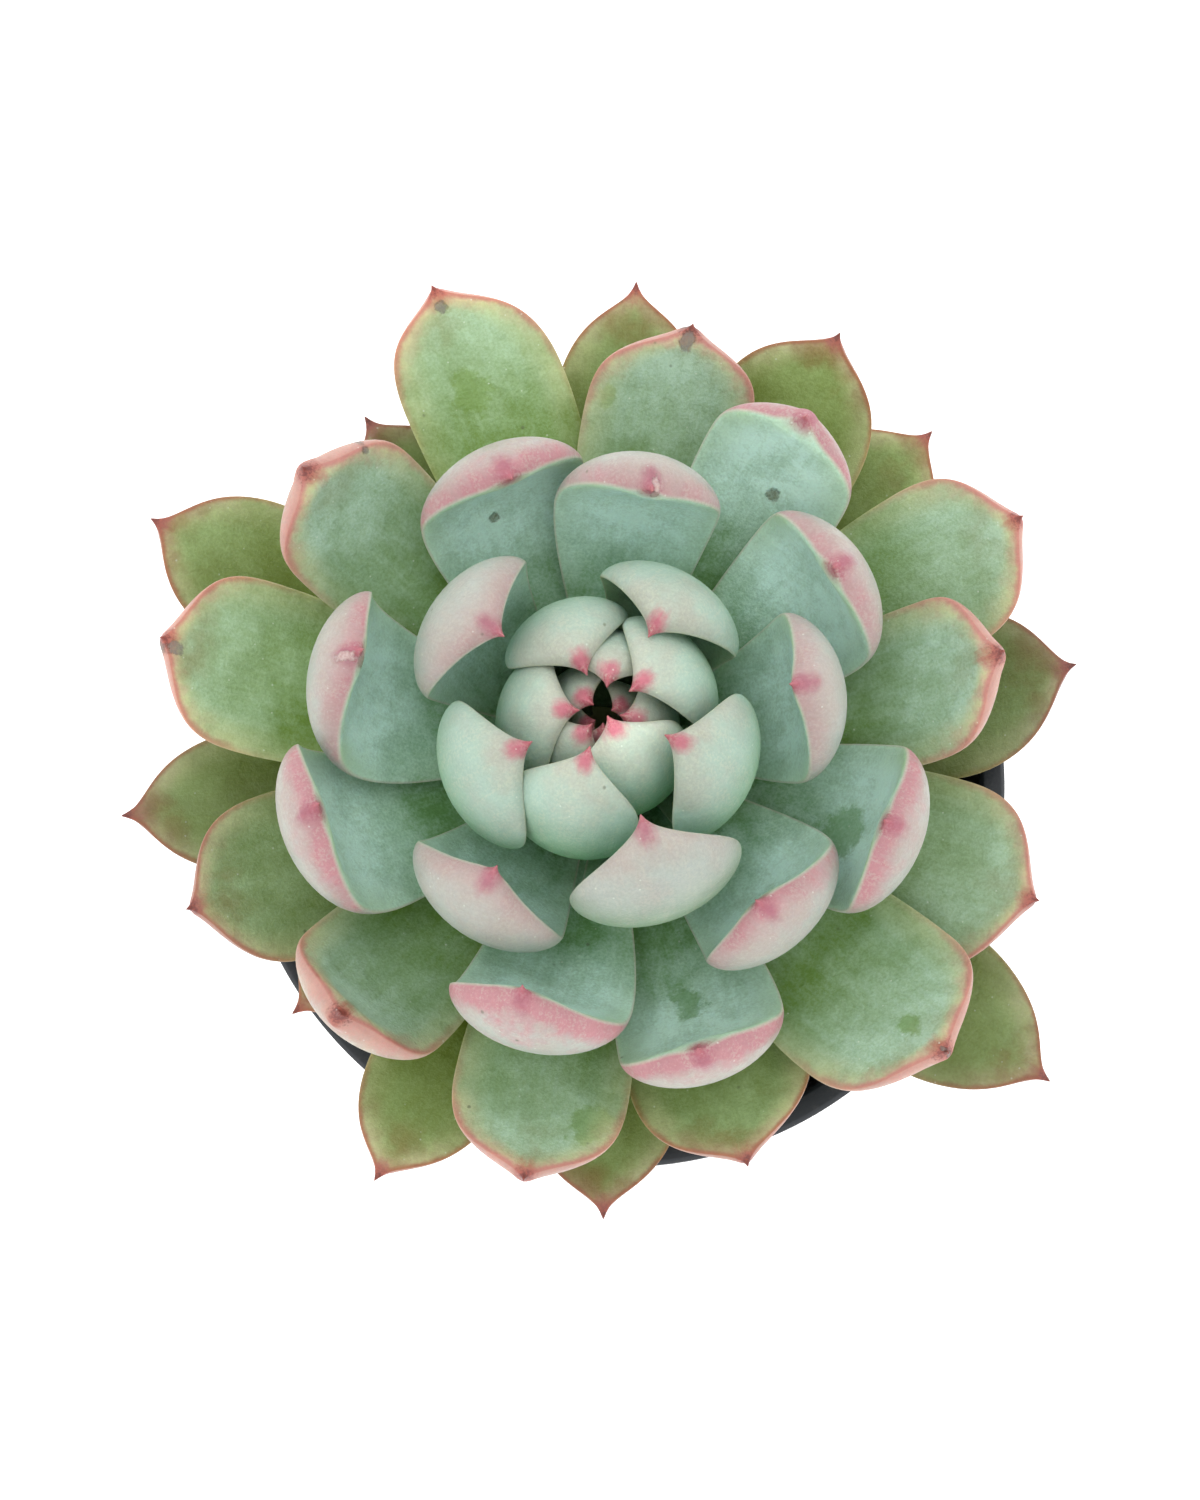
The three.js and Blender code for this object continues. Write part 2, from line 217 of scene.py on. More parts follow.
def turned(name, profile, turns):
    """A solid of revolution from (radius, height) points that run upwards on the outside."""
    shape = bmesh.new()
    rings = []
    for radius, height in profile:
        if radius < 1e-6:
            rings.append([shape.verts.new((0, 0, height))])
            continue
        angles = [math.tau * i / turns for i in range(turns)]
        rings.append([shape.verts.new((radius * math.cos(a), radius * math.sin(a), height)) for a in angles])
    for low, high in zip(rings, rings[1:]):
        for i in range(turns):
            j = (i + 1) % turns
            corners = [low[i % len(low)], low[j % len(low)], high[j % len(high)], high[i % len(high)]]
            shape.faces.new(list(dict.fromkeys(corners)))
    mesh = bpy.data.meshes.new(name)
    shape.to_mesh(mesh)
    shape.free()
    return mesh


def height_in(tree):
    """The height above the ground, in metres."""
    place = Value(add_node(tree, "ShaderNodeTexCoord").outputs["Object"])
    return Value(add_node(tree, "ShaderNodeSeparateXYZ", Vector=place).outputs["Z"])


def pot_finish():
    """Moulded plastic, a little dusty at its foot and on its rim, and scuffed in between."""
    material, tree, shader = finish("moulded_pot", Roughness=0.45, Specular_IOR_Level=0.3)
    height = height_in(tree)
    scuffs = grain(tree, 9 * MM, 6, 0.7).ramp(0.5, 0.75)
    low_dust = height.ramp(0, 0.03, 1, 0) * grain(tree, 3 * MM, 6, 0.75).ramp(0.35, 0.8)
    rim_dust = height.ramp(0.072, 0.089, 0, 0.5) * grain(tree, 2.5 * MM, 5, 0.7).ramp(0.5, 0.8)
    dust = low_dust * 0.2 + rim_dust * 0.25 + scuffs * 0.08
    colour = blended(tree, dust, POT_COLOUR, DUST_COLOUR)
    tree.links.new(colour.socket, shader.inputs["Base Color"])
    give(shader.inputs["Roughness"], dust * 0.5 + grain(tree, 14 * MM, 3).ramp(0.3, 0.7, 0.36, 0.5))
    bumped(tree, shader, grain(tree, 0.35 * MM, 2) * 0.5 + grain(tree, 5 * MM, 2), 0.05 * MM)
    return material


def make_pot():
    outside = [
        (0, 0),
        (BASE_RADIUS - 2 * BASE_EDGE, 0),
        (BASE_RADIUS - BASE_EDGE, 0),
        (BASE_RADIUS, BASE_EDGE),
        (WALL_TOP_RADIUS, COLLAR_FOOT - STEP_RISE),
        (COLLAR_FOOT_RADIUS, COLLAR_FOOT),
        (COLLAR_TOP_RADIUS, COLLAR_TOP),
        (RIM_RADIUS, COLLAR_TOP + LIP_ROUNDING),
        (RIM_RADIUS, POT_HEIGHT - LIP_ROUNDING),
        (RIM_RADIUS - LIP_ROUNDING, POT_HEIGHT),
    ]
    inside = [
        (COLLAR_TOP_RADIUS - WALL + LIP_ROUNDING, POT_HEIGHT),
        (COLLAR_TOP_RADIUS - WALL, POT_HEIGHT - LIP_ROUNDING),
        (COLLAR_FOOT_RADIUS - WALL, COLLAR_FOOT + WALL),
        (WALL_TOP_RADIUS - WALL, COLLAR_FOOT + WALL - STEP_RISE),
        (BASE_RADIUS - WALL + WALL_TAPER * (FLOOR + FLOOR_FILLET), FLOOR + FLOOR_FILLET),
        (BASE_RADIUS - WALL - FLOOR_FILLET, FLOOR),
        (0, FLOOR),
    ]
    pot = new_object("pot", turned("pot", outside + inside, POT_TURNS))
    drills = bmesh.new()
    for i in range(HOLES):
        angle = math.tau * i / HOLES
        place = Matrix.Translation((HOLE_CIRCLE * math.cos(angle), HOLE_CIRCLE * math.sin(angle), 0))
        bmesh.ops.create_cone(drills, cap_ends=True, segments=HOLE_TURNS, radius1=HOLE_RADIUS,
                              radius2=HOLE_RADIUS, depth=4 * FLOOR, matrix=place)
    drill_mesh = bpy.data.meshes.new("drills")
    drills.to_mesh(drill_mesh)
    drills.free()
    drill = new_object("drills", drill_mesh)
    cut = pot.modifiers.new("drain holes", "BOOLEAN")
    cut.object = drill
    cut.solver = "EXACT"
    soften = pot.modifiers.new("moulded edges", "BEVEL")
    soften.width = MOULDED_EDGE
    soften.segments = 2
    soften.limit_method = "ANGLE"
    soften.angle_limit = ROUNDED_FROM
    mesh = baked(pot)
    bpy.data.objects.remove(drill)
    mesh.shade_smooth()
    mesh.set_sharp_from_angle(angle=CREASED_FROM)
    mesh.materials.clear()
    mesh.materials.append(pot_finish())
    return new_object("nursery_pot", mesh)


pot = make_pot()
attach(pot, "root")
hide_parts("pot")

# The soil: a dark, crumbly potting mix of peat and bark with a little perlite, poured round the
# roots and watered down, so that it lies a finger's width under the pot's rim.
SOIL_TOP = 76 * MM
SOIL_MOUND = 1.5 * MM
GAP = 0.3 * MM
# The plant stands a little off the pot's axis.
PLANT = Vector((-2.4, 2.8, 0)) * MM
SOIL_RINGS = 60
SOIL_TURNS = 160
SOIL_LUMPS = 1.3 * MM
SOIL_LUMP_SIZE = 7 * MM
SOIL_SETTLED = 0.9 * MM
CRUMBS = 2600
PERLITE = 130
GRAIN_ROUGHNESS = 0.9 * MM
GRAIN_BREADTH = 0.75
WET_PEAT = (0.012, 0.008, 0.005)
DRY_PEAT = (0.06, 0.036, 0.02)
BARK = [(0.014, 0.009, 0.005), (0.11, 0.06, 0.03)]
PERLITE_GREYS = [(0.45, 0.43, 0.39), (0.72, 0.71, 0.68)]
BARE_ROUND_STEM = 6 * MM
GRAINS_WITHIN = 44 * MM
SOIL_SEED = 4
PERLITE_SEED = 5


def soil_finish():
    material, tree, shader = finish("potting_mix", Roughness=0.95, Specular_IOR_Level=0.2)
    damp = grain(tree, 3 * MM, 6, 0.7).ramp(0.35, 0.7)
    tree.links.new(blended(tree, damp, WET_PEAT, DRY_PEAT).socket, shader.inputs["Base Color"])
    bumped(tree, shader, grain(tree, 1.2 * MM, 6, 0.7), 0.5 * MM)
    return material


def grain_finish(name, dark, light):
    material, tree, shader = finish(name, Roughness=0.9)
    colour = blended(tree, grain(tree, 2.2 * MM, 5, 0.7).ramp(0.3, 0.7), dark, light)
    tree.links.new(colour.socket, shader.inputs["Base Color"])
    bumped(tree, shader, grain(tree, 0.5 * MM, 4, 0.6), 0.12 * MM)
    return material


def soil_height(x, y):
    radius = math.hypot(x, y)
    share = radius / (COLLAR_TOP_RADIUS - WALL)
    mound = SOIL_TOP + SOIL_MOUND * (1 - share * share)
    lumps = noise.fractal(Vector((x, y, 0.3)) / SOIL_LUMP_SIZE, 0.7, 2.1, 5) * SOIL_LUMPS
    return mound + lumps - SOIL_SETTLED


def make_soil():
    top_radius = COLLAR_TOP_RADIUS - WALL - 1 * MM
    profile = [
        (0, FLOOR + GAP),
        (BASE_RADIUS - WALL - 1.3 * MM, FLOOR + GAP),
        (BASE_RADIUS - WALL - GAP, FLOOR + 1.5 * MM),
        (WALL_TOP_RADIUS - WALL - GAP, COLLAR_FOOT + WALL - 0.5 * MM),
        (COLLAR_FOOT_RADIUS - WALL - 2 * GAP, COLLAR_FOOT + WALL + GAP),
    ]
    for ring in range(SOIL_RINGS + 1):
        profile.append((top_radius * (1 - ring / SOIL_RINGS), SOIL_TOP))
    mesh = turned("soil", profile, SOIL_TURNS)
    for vertex in mesh.vertices:
        if vertex.co.z > SOIL_TOP - 0.01 * MM:
            vertex.co.z = soil_height(vertex.co.x, vertex.co.y)
    mesh.shade_smooth()
    mesh.materials.append(soil_finish())
    return new_object("soil_mix", mesh)


def scatter_tree():
    """Grains laid at random on the faces of a mesh that point up, then made real."""
    tree = bpy.data.node_groups.new("scattered grains", "GeometryNodeTree")
    inputs = {
        "Surface": "Geometry", "Count": "Float", "Smallest": "Float", "Largest": "Float",
        "Flatness": "Float", "Seed": "Int", "Finish": "Material",
    }
    for name, kind in inputs.items():
        tree.interface.new_socket(name=name, in_out="INPUT", socket_type="NodeSocket" + kind)
    tree.interface.new_socket(name="Grains", in_out="OUTPUT", socket_type="NodeSocketGeometry")
    given = {s.name: Value(s) for s in tree.nodes.new("NodeGroupInput").outputs if s.name}
    area = math.pi * (COLLAR_TOP_RADIUS - WALL) ** 2
    spots = add_node(tree, "GeometryNodeDistributePointsOnFaces", Mesh=given["Surface"],
                     Density=given["Count"] / area, Seed=given["Seed"])
    size = add_node(tree, "FunctionNodeRandomValue", {"data_type": "FLOAT"}, Seed=given["Seed"])
    give(size.inputs[2], given["Smallest"])
    give(size.inputs[3], given["Largest"])
    turn = add_node(tree, "FunctionNodeRandomValue", {"data_type": "FLOAT_VECTOR"}, Seed=given["Seed"])
    turn.inputs[1].default_value = (math.tau, math.tau, math.tau)
    lump = add_node(tree, "GeometryNodeMeshIcoSphere", Radius=1.0, Subdivisions=1)
    stretch = add_node(tree, "ShaderNodeCombineXYZ", X=Value(size.outputs[1]),
                       Y=Value(size.outputs[1]) * GRAIN_BREADTH,
                       Z=Value(size.outputs[1]) * given["Flatness"])
    placed = add_node(tree, "GeometryNodeInstanceOnPoints", Points=Value(spots.outputs["Points"]),
                      Instance=Value(lump.outputs["Mesh"]), Rotation=Value(turn.outputs[0]),
                      Scale=Value(stretch.outputs[0]))
    real = add_node(tree, "GeometryNodeRealizeInstances", Geometry=Value(placed.outputs[0]))
    rough = add_node(tree, "ShaderNodeTexNoise", Scale=1 / (1.1 * MM), Detail=1.0)
    offset = add_node(tree, "ShaderNodeVectorMath", {"operation": "MULTIPLY_ADD"})
    give(offset.inputs[0], Value(rough.outputs["Color"]))
    offset.inputs[1].default_value = [GRAIN_ROUGHNESS] * 3
    offset.inputs[2].default_value = [-GRAIN_ROUGHNESS / 2] * 3
    broken = add_node(tree, "GeometryNodeSetPosition", Geometry=Value(real.outputs[0]),
                      Offset=Value(offset.outputs[0]))
    done = add_node(tree, "GeometryNodeSetMaterial", Geometry=Value(broken.outputs[0]),
                    Material=given["Finish"])
    result = tree.nodes.new("NodeGroupOutput")
    tree.links.new(done.outputs[0], result.inputs["Grains"])
    return tree


def with_nodes(name, mesh, tree, **inputs):
    """The mesh that a tree makes of another. An input's name is given with _ for its spaces."""
    source = new_object(name, mesh)
    modifier = source.modifiers.new("shape", "NODES")
    modifier.node_group = tree
    for input_name, value in inputs.items():
        socket = tree.interface.items_tree[input_name.replace("_", " ")]
        modifier[socket.identifier] = value
    return baked(source)


def top_only(mesh):
    """A copy with only the faces that point up, round the plant, where grains can lie."""
    shape = bmesh.new()
    shape.from_mesh(mesh)
    left_out = []
    for face in shape.faces:
        middle = face.calc_center_median()
        by_stem = (middle - PLANT).xy.length < BARE_ROUND_STEM
        if face.normal.z < 0.4 or by_stem or middle.xy.length > GRAINS_WITHIN:
            left_out.append(face)
    bmesh.ops.delete(shape, geom=left_out, context="FACES")
    copy = bpy.data.meshes.new("soil_surface")
    shape.to_mesh(copy)
    shape.free()
    return copy


soil = make_soil()
surface = top_only(soil.data)
grains_tree = scatter_tree()
crumbs = new_object("bark_crumbs", with_nodes(
    "crumbs", surface, grains_tree, Count=CRUMBS, Smallest=0.5 * MM, Largest=1.5 * MM, Flatness=0.6,
    Seed=SOIL_SEED, Finish=grain_finish("bark", *BARK)))
perlite = new_object("perlite_grains", with_nodes(
    "perlite", surface, grains_tree, Count=PERLITE, Smallest=0.7 * MM, Largest=1.5 * MM, Flatness=0.85,
    Seed=PERLITE_SEED, Finish=grain_finish("perlite", *PERLITE_GREYS)))
for piece in (soil, crumbs, perlite):
    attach(piece, "root")
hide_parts("soil")

# The stem: short, green-brown and corky, as thick as a thumb, hidden under the leaves. Each leaf
# that dried and dropped has left a flat scar on it, in the same spiral as the leaves above.
STEM_RADIUS = 8.2 * MM
ROOT_RADIUS = 5.5 * MM
ROOT_DEPTH = 24 * MM
SHOULDER = 102 * MM
DOME_HEIGHT = 7 * MM
STEM_FOOT = 86 * MM
STEM_TURNS = 96
STEM_ROWS = 60
DOME_ROWS = 12
SCARS = 26
SCAR_FIRST = 1 * MM
SCAR_PITCH = 0.95 * MM
SCAR_HALF_WIDTH = 3.2 * MM
SCAR_HALF_HEIGHT = 1.1 * MM
SCAR_DEPTH = 0.45 * MM
GOLDEN_ANGLE = math.radians(137.5)
CORK = [(0.16, 0.13, 0.06), (0.33, 0.3, 0.16)]
# The growing tip's colour is pale green, partly painted light in the shaded heart of the rosette.
GROWING_TIP_AND_PAINTED_LIGHT = (0.3, 0.3, 0.13)


def stem_finish():
    material, tree, shader = finish("corky_stem", Roughness=0.8)
    colour = blended(tree, grain(tree, 2.5 * MM, 5, 0.65).ramp(0.35, 0.65), *CORK)
    # The growing tip is pale green; part of that paleness is painted light in the shaded heart of the
    # rosette.
    tip = height_in(tree).ramp(SHOULDER, SHOULDER + 4 * MM)
    colour = blended(tree, tip, colour, GROWING_TIP_AND_PAINTED_LIGHT)
    tree.links.new(colour.socket, shader.inputs["Base Color"])
    bumped(tree, shader, grain(tree, 1.2 * MM, 4, 0.6), 0.15 * MM)
    return material


def make_stem():
    profile = [
        (0, SOIL_TOP - ROOT_DEPTH),
        (ROOT_RADIUS * 0.35, SOIL_TOP - ROOT_DEPTH),
        (ROOT_RADIUS, SOIL_TOP - ROOT_DEPTH * 0.4),
    ]
    low = SOIL_TOP
    for i in range(STEM_ROWS + 1):
        height = low + (SHOULDER - low) * i / STEM_ROWS
        swell = min(1, max(0, (height - low) / (STEM_FOOT - low)))
        profile.append((ROOT_RADIUS + (STEM_RADIUS - ROOT_RADIUS) * swell * swell * (3 - 2 * swell), height))
    for i in range(1, DOME_ROWS):
        angle = math.pi / 2 * i / DOME_ROWS
        profile.append((STEM_RADIUS * math.cos(angle), SHOULDER + DOME_HEIGHT * math.sin(angle)))
    profile.append((0, SHOULDER + DOME_HEIGHT))
    mesh = turned("stem", profile, STEM_TURNS)
    for vertex in mesh.vertices:
        x, y, z = vertex.co
        radius = math.hypot(x, y)
        if radius < 1 * MM or not low < z < SHOULDER:
            continue
        angle = math.atan2(y, x)
        groove = 0
        for k in range(SCARS):
            aside = (angle - k * GOLDEN_ANGLE + math.pi) % math.tau - math.pi
            above = (z - low - SCAR_FIRST - k * SCAR_PITCH) / SCAR_HALF_HEIGHT
            groove = max(groove, math.exp(-((aside * radius / SCAR_HALF_WIDTH) ** 4) - above ** 2))
        shrink = 1 - SCAR_DEPTH * groove / radius
        vertex.co.x *= shrink
        vertex.co.y *= shrink
    mesh.transform(Matrix.Translation(PLANT))
    mesh.shade_smooth()
    mesh.materials.append(stem_finish())
    return new_object("corky_stem", mesh)


stem = make_stem()
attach(stem, "root")
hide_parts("stem")

# The leaves: 52 thick, water-filled blades in one spiral, each a flat-topped spoon with a fleshy
# back and a small horny point. Every leaf is the same rule with its own sizes: its middle line
# leaves the stem at a slope and curls up towards the tip, and its blade cups round the stem.
LEAF_PITCH = 0.48 * MM
DOME_LEAVES = 26
HEART_LEAVES = 15
CUPPED_LEAVES = 14
SPINE_STEPS = 50
HALVINGS = 20
LEAF_ROWS = 84
LEAF_TURNS = 56
ROW_CROWDING = 1.45
WELD = 0.002 * MM
FOOT_WIDTH = 0.33
FOOT_THICKNESS = 0.36
SHOULDER_RISE = 1.25
POINT_HOLLOW = 1.5
POINT_FROM = 0.94

# The leaf's section: most of its flesh is on the back, and it is fleshy to near the blunt end.
BELLY = 0.78
SECTION_FULLNESS = 0.6
THINNING_FROM = 0.55
BLUNTNESS = 3.2
SWELL_FROM = 0.45
SWELL_TO = 0.85
THICKEST_FOR_WIDTH = 1.3
THICKEST_AT_POINT = 0.3 * MM

# How tightly a blade may wrap: its radius of curvature, and its half-width as an angle.
SMALLEST_CUP = 7 * MM
WIDEST_WRAP = 1.15
NEST_SLACK = 1.15
NARROWEST_NEST = 1 * MM
FLATTEST_SINE = 0.08

# How a leaf changes with its place, counted from the youngest: place and value, in mm or degrees.
LENGTH = [(0, 23), (4, 29), (8, 33.5), (12, 40), (16, 41), (20, 43), (27, 48)]
WIDTH = [(0, 7), (4, 14.5), (8, 20), (12, 21.5), (16, 23), (30, 23.5), (44, 22.5), (51, 21)]
THICKNESS = [(0, 1.8), (8, 3), (16, 4.8), (30, 5.2), (51, 4.6)]
BEND = [(0, 50), (6, 100), (9, 120), (13, 128), (18, 124), (24, 120), (28, 100), (31, 66), (34, 48), (51, 14)]
CURL = [(0, 2), (16, 2), (24, 2.8)]
WIDEST = [(0, 0.76), (30, 0.74), (42, 0.69), (51, 0.66)]
POINTED = [(0, 0.5), (30, 0.5), (42, 0.85), (51, 1)]
ROUNDNESS = [(0, 2.4), (10, 3.2), (20, 3.2), (30, 2.8), (42, 2.2), (51, 2.1)]
POINT_LENGTH = [(0, 2), (8, 4.6), (15, 6), (20, 4), (30, 3)]
POINT_DROP = [(0, 0), (15, 0), (19, 1.6), (29, 1.6), (34, 0.6), (51, 0.4)]
TIP_SWELL = [(0, 0), (14, 0.1), (18, 0.35), (29, 0.35), (34, 0.1), (38, 0)]
YELLOW = [(0, 0.8), (8, 0), (22, 0.05), (29, 0.25), (38, 0.4), (39, 0.7), (42, 0.9), (51, 1)]
BLUSH = [(0, 0), (13, 0), (15, 0.08), (16, 0.4), (18, 0.4), (21, 1), (30, 1), (36, 0.8)]
# The light number scales a leaf's whole colour: partly its own tone, partly painted light and shade, with the
# young leaves in the shaded heart painted lighter.
TONE_AND_PAINTED_LIGHT = [(0, 1.1), (9, 1.1), (12, 0.97), (38, 1), (41, 0.9), (51, 0.9)]
NO_MARK = (0, 0, 0)
# The horny point is never thinner than this, until it runs out.
POINT_RADIUS = 0.5 * MM
POINT_RUN_OUT = 1.3 * MM
POINT_TAPER = 0.7

# Each leaf from the youngest: the direction of its middle line, anticlockwise from +X, how far its
# tip is from the stem's axis in plan, and what is its own: length, width and bend. Sweep carries a
# tip sideways, and skew sets one shoulder further out.
# A leaf's light number scales its whole colour and holds painted light and shade as well as its own tone.
LEAVES = [
    dict(azimuth=205, reach=1),
    dict(azimuth=29, reach=1),
    dict(azimuth=268, reach=1),
    dict(azimuth=141, reach=1.5),
    dict(azimuth=349, reach=2),
    dict(azimuth=227, reach=2),
    dict(azimuth=82, reach=3, length=31.5, width=15),
    # Leaf 8's light of 1.45 is painted light over the whole leaf, lifting a shaded spot.
    dict(azimuth=298, reach=1, length=35, light=1.45),
    dict(azimuth=178, reach=3, width=19, length=33),
    dict(azimuth=36, reach=4, width=19.2),
    dict(azimuth=252, reach=5.5, length=40.5, width=18.6),
    dict(azimuth=114, reach=5, length=34.5, width=18.5),
    dict(azimuth=335, reach=8.5),
    dict(azimuth=206, reach=10),
    dict(azimuth=59, reach=11, length=36.5),
    dict(azimuth=288, reach=15, length=46.5, width=24),
    dict(azimuth=144, reach=15.5, length=40.5),
    dict(azimuth=8, reach=23.8, length=40, bend=112),
    dict(azimuth=236, reach=24, length=41.5),
    dict(azimuth=83, reach=29, length=42, width=22, bend=112, sweep=-2.6, skew=-0.07, scar=(-0.6, 1.4, 0.6)),
    dict(azimuth=315.5, reach=31, sweep=-3.5, skew=-0.12),
    dict(azimuth=173, reach=32, sweep=-4.2, skew=-0.13, scar=(0.6, 1.6, 0.8), blush=0.7),
    dict(azimuth=33, reach=35.2, length=43, bend=110, blush=0.6),
    dict(azimuth=259.5, reach=36.6, length=48.5, bend=126, sweep=-3.6, skew=-0.1, light=1.02, blush=1.8),
    dict(azimuth=115, reach=33, length=43, bend=126, sweep=-2.3, scar=(1.7, 15, 0.8)),
    dict(azimuth=339.5, reach=38.3, length=46.5, bend=120, skew=-0.1, rubbed=(-1.3, 18, 3.5)),
    dict(azimuth=203.5, reach=38.2, bend=114, sweep=-3.9, skew=-0.1),
    dict(azimuth=56.5, reach=47.5, length=49, width=21, bend=74, scar=(-1.2, 15, 0.9)),
    dict(azimuth=289.5, reach=44, length=49.5, width=22.5, bend=110, sweep=-2.7,
         rubbed=(-0.5, 19, 2.5), light=1.02, blush=1.6),
    dict(azimuth=138.5, reach=51, length=51, width=22, bend=60, sweep=0.9, scar=(-7.3, 5, 0.5)),
    dict(azimuth=8, reach=52.5, length=50, width=21, bend=46, sweep=2.4),
    dict(azimuth=228, reach=50.5, length=52.5, width=23, bend=90, light=0.97, blush=0.9),
    dict(azimuth=80, reach=55.5, length=51, width=22.3, bend=42, sweep=-2.2,
         rubbed=(8.5, 12, 1.2), scar=(0, 1.8, 1)),
    dict(azimuth=315, reach=61, length=58, width=26, sweep=1.6, rubbed=(0.2, 8, 1.5), scar=(0, 0.8, 0.6)),
    dict(azimuth=168, reach=59, length=55.5, yellow=0.5, light=1.15, scar=(0.8, 1.9, 0.9)),
    dict(azimuth=27.5, reach=62, length=58, light=1.1),
    dict(azimuth=260, reach=59, length=55.5, rubbed=(7, 10.5, 2.6)),
    dict(azimuth=106.5, reach=64, length=60, width=22, sweep=4.8, skew=-0.08, yellow=0.5, light=1.25,
         rubbed=(1.6, 16.5, 2.8), scar=(0.4, 3, 0.9)),
    dict(azimuth=338.5, reach=61, length=55, width=26.3, sweep=1.1),
    dict(azimuth=202.5, reach=59, length=53.5, light=0.8),
    dict(azimuth=60, reach=63.2, length=57.5, yellow=1, light=0.9),
    dict(azimuth=291, reach=59, length=53, width=25, sweep=-2.5),
    dict(azimuth=152.8, reach=67.5, length=61, width=20.8, sweep=0.8),
    dict(azimuth=9, reach=64.3, length=57, sweep=1.1, light=0.62),
    dict(azimuth=244, reach=65, length=58, width=18.8, sweep=-1.7),
    dict(azimuth=85.6, reach=63.6, length=56.5, width=20.4, sweep=0.4, light=0.95),
    dict(azimuth=323, reach=74, length=66.5, width=21.3, light=0.7),
    dict(azimuth=187.4, reach=65, length=57.5, width=19.5, sweep=0.7, light=0.7),
    dict(azimuth=44.6, reach=63, length=55, width=24, light=0.95),
    dict(azimuth=270, reach=62.5, length=54.5, light=0.8),
    dict(azimuth=125.3, reach=56, length=48.5, light=0.65),
    dict(azimuth=220, reach=54.5, length=46.3, width=20),
]


def value_at(curve, place):
    if place <= curve[0][0]:
        return curve[0][1]
    for (at0, value0), (at1, value1) in zip(curve, curve[1:]):
        if place <= at1:
            return value0 + (value1 - value0) * (place - at0) / (at1 - at0)
    return curve[-1][1]


def seat_of(place):
    """Where a leaf leaves the stem, as radius and height: the young ones on its dome."""
    if place < DOME_LEAVES:
        share = math.sqrt((place + 0.5) / DOME_LEAVES)
        return STEM_RADIUS * share, SHOULDER + DOME_HEIGHT * math.sqrt(1 - share * share)
    return STEM_RADIUS, POT_HEIGHT + (len(LEAVES) - 1 - place) * LEAF_PITCH


def foot_slope(out, length, bend, curl, drop):
    """The slope at the foot of a leaf of that length and bend whose tip comes out that far."""
    low, high = 0.0, math.pi / 2
    for _ in range(HALVINGS):
        foot = (low + high) / 2
        steps = [foot + bend * (i / SPINE_STEPS) ** curl for i in range(SPINE_STEPS)]
        reached = sum(length / SPINE_STEPS * math.cos(slope) for slope in steps)
        reached += drop * math.sin(foot + bend)
        if reached > out:
            low = foot
        else:
            high = foot
    return low


LEAF_INPUTS = [
    "Direction", "Seat radius", "Seat height", "Foot slope", "Bend", "Curl", "Length", "Half width",
    "Thickness", "Widest", "Pointed", "Roundness", "Swell", "Sweep", "Skew", "Point length",
    "Point drop",
]
LEAF_LOOKS = ["Cast", "Rubbed", "Scar"]


